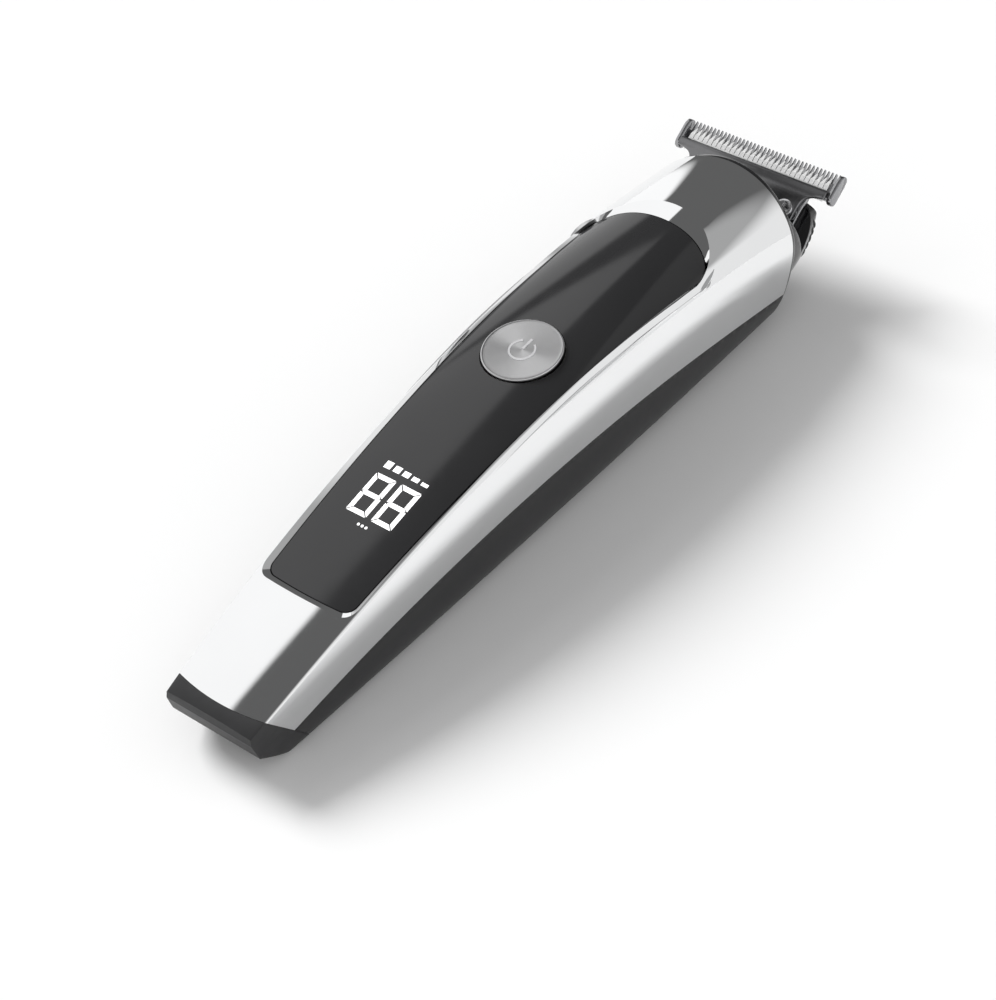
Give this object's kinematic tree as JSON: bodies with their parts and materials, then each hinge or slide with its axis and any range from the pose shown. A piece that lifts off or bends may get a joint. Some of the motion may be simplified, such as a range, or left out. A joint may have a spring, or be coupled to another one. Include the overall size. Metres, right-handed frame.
{
  "type": "hair clipper",
  "caption": "Cordless hair clipper with a chrome front cover, black display panel, round power button, black rear shell and a detachable T-shaped cutting head.",
  "frame": {"origin": "centre of the outline, on the surface that the flat back rests on", "axes": "+X from the tail to the cutting head, +Y to the clipper's left seen from the front with its head up, +Z out of the front face with the button"},
  "size_m": [0.1686, 0.038, 0.0288],
  "materials": {
    "chrome_cover": "polished chrome plate",
    "satin_black": "satin moulded plastic",
    "gloss_black": "gloss moulded plastic",
    "panel_black": "deep gloss lens",
    "display_white": "lit light guides",
    "spun_metal": "turned concentric rings",
    "blade_steel": "ground steel",
    "plate_steel": "satin steel",
    "zinc_screw": "plated screw",
    "dark_screw": "blackened screw",
    "white_plastic": "moulded acetal",
    "board_green": "circuit board",
    "battery_wrap": "shrink wrap",
    "nickel": "nickel strip",
    "motor_steel": "drawn steel",
    "brass": "turned brass",
    "magnet": "ferrite",
    "copper_core": "laminated core with windings"
  },
  "bodies": {
    "handle": {"front_cover": "chrome_cover", "rear_cover": "satin_black", "housing_screws": "dark_screw", "tail_cap": "satin_black", "dc_jack": "gloss_black", "display_panel": "panel_black", "tact_switch": "gloss_black", "circuit_board": "board_green", "board_screws": "zinc_screw", "circuit_chips": "gloss_black", "display_module": "white_plastic", "display_digits": "display_white", "battery_cell": "battery_wrap", "battery_tabs": "nickel", "chassis": "white_plastic", "motor_can": "motor_steel", "motor_magnets": "magnet", "motor_endcap": "gloss_black", "motor_terminals": "brass", "motor_mount": "satin_black", "motor_screws": "zinc_screw", "head_socket": "satin_black"},
    "rotor": {"motor_shaft": "blade_steel", "motor_armature": "copper_core", "eccentric_cam": "white_plastic", "drive_pin": "blade_steel"},
    "button": {"power_button": "spun_metal", "button_plunger": "white_plastic", "switch_stem": "white_plastic"},
    "blade_head": {"head_housing": "gloss_black", "fixed_blade": "blade_steel", "guard_plate": "plate_steel", "blade_spacers": "blade_steel", "blade_screws": "zinc_screw"},
    "cutter": {"moving_blade": "blade_steel", "cutter_yoke": "white_plastic"}
  },
  "joints": [
    {"name": "rotor_spin", "type": "hinge", "parent": "handle", "child": "rotor", "pos_m": [0.0591, 0, 0.013], "axis": [1, 0, 0], "continuous": true},
    {"name": "button_press", "type": "slide", "parent": "handle", "child": "button", "axis": [0.0775, 0, -0.997], "range_m": [0, 0.0004], "stiffness_N_per_m": 1500, "springref_m": -0.0008},
    {"name": "head_pull", "type": "slide", "parent": "handle", "child": "blade_head", "axis": [1, 0, 0], "range_m": [0, 0.012]},
    {"name": "cutter_stroke", "type": "slide", "parent": "blade_head", "child": "cutter", "axis": [0, 1, 0], "range_m": [-0.0008, 0.0008]}
  ]
}
